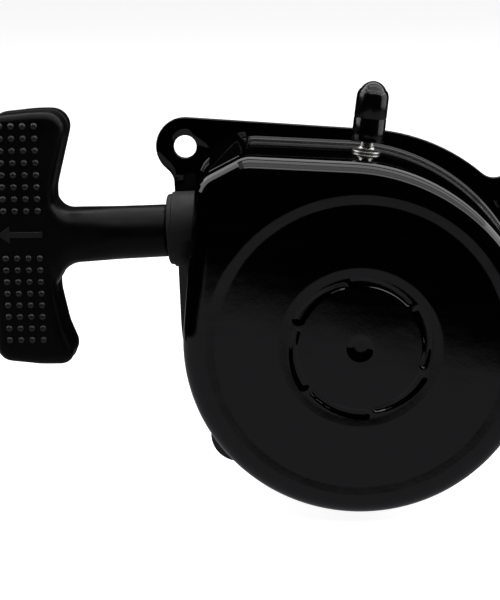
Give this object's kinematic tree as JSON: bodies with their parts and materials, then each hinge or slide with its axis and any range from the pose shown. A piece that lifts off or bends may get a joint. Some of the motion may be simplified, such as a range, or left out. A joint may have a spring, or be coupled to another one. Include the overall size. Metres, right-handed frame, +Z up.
{
  "type": "recoil starter",
  "caption": "Pull-cord starter for a small engine: gloss black pressed-steel case, T-handle on a rope, spring-return reel, swing-out pawls and a capped vent.",
  "frame": {"origin": "on the reel spin axis, in the plane of the mounting flange back face", "axes": "+Y along the spin axis towards the engine, +Z up, -X along the rope towards the pull handle"},
  "size_m": [0.2197, 0.05, 0.1683],
  "materials": {
    "case_paint": "gloss black enamel",
    "guide_rubber": "matte",
    "zinc_steel": "zinc plated",
    "cap_vinyl": "glossy dipped vinyl",
    "bare_steel": "machined, oiled",
    "bronze": "sintered bronze",
    "reel_nylon": "moulded nylon",
    "spring_steel": "blued spring steel",
    "rope": "braided nylon cord",
    "grip_rubber": "satin moulded"
  },
  "bodies": {
    "housing": {"case": "case_paint", "rope_guide": "guide_rubber", "guide_ferrule": "zinc_steel", "vent_tube": "zinc_steel", "vent_collar": "zinc_steel", "pivot_post": "bare_steel", "spring_plate": "zinc_steel", "recoil_spring": "spring_steel", "thrust_washer": "zinc_steel", "friction_spring": "spring_steel", "friction_washer": "zinc_steel", "reel_nut": "zinc_steel"},
    "reel_body": {"reel": "reel_nylon", "reel_bush": "bronze", "rope_coil": "rope", "reel_knot": "rope", "pawl_pins": "bare_steel", "pawl_springs": "spring_steel"},
    "friction_plate_body": {"friction_plate": "zinc_steel"},
    "pawl_upper_body": {"pawl_upper": "bare_steel"},
    "pawl_lower_body": {"pawl_lower": "bare_steel"},
    "handle_body": {"handle_grip": "grip_rubber", "handle_washer": "zinc_steel", "handle_plug": "grip_rubber", "handle_knot": "rope", "rope_lead": "rope"},
    "vent_cap_body": {"vent_cap": "cap_vinyl"}
  },
  "joints": [
    {"name": "reel_spin", "type": "hinge", "parent": "housing", "child": "reel_body", "pos_m": [0, -0.025, 0], "axis": [0, -1, 0], "range_deg": [0, 1380], "stiffness_Nm_per_rad": 0.02, "springref_deg": -687.55, "deforming": ["recoil_spring"]},
    {"name": "handle_pull", "type": "slide", "parent": "housing", "child": "handle_body", "axis": [-0.9986, 0, -0.0523], "range_m": [0, 1.059], "deforming": ["rope_lead"]},
    {"name": "friction_plate_turn", "type": "hinge", "parent": "reel_body", "child": "friction_plate_body", "pos_m": [0, -0.0099, 0], "axis": [0, 1, 0], "range_deg": [0, 30]},
    {"name": "pawl_upper_swing", "type": "hinge", "parent": "reel_body", "child": "pawl_upper_body", "pos_m": [0.01125, -0.0138, 0.01949], "axis": [0, 1, 0], "range_deg": [0, 35.5]},
    {"name": "pawl_lower_swing", "type": "hinge", "parent": "reel_body", "child": "pawl_lower_body", "pos_m": [-0.01125, -0.0138, -0.01949], "axis": [0, 1, 0], "range_deg": [0, 35.5]},
    {"name": "vent_cap_pull", "type": "slide", "parent": "housing", "child": "vent_cap_body", "axis": [0.1045, 0, 0.9945], "range_m": [0, 0.03]}
  ],
  "couplings": [
    {"joint": "handle_pull", "follows": "reel_spin", "m_per_rad": 0.0439},
    {"joint": "pawl_upper_swing", "follows": "friction_plate_turn", "ratio": 1.1667},
    {"joint": "pawl_lower_swing", "follows": "friction_plate_turn", "ratio": 1.1667}
  ]
}
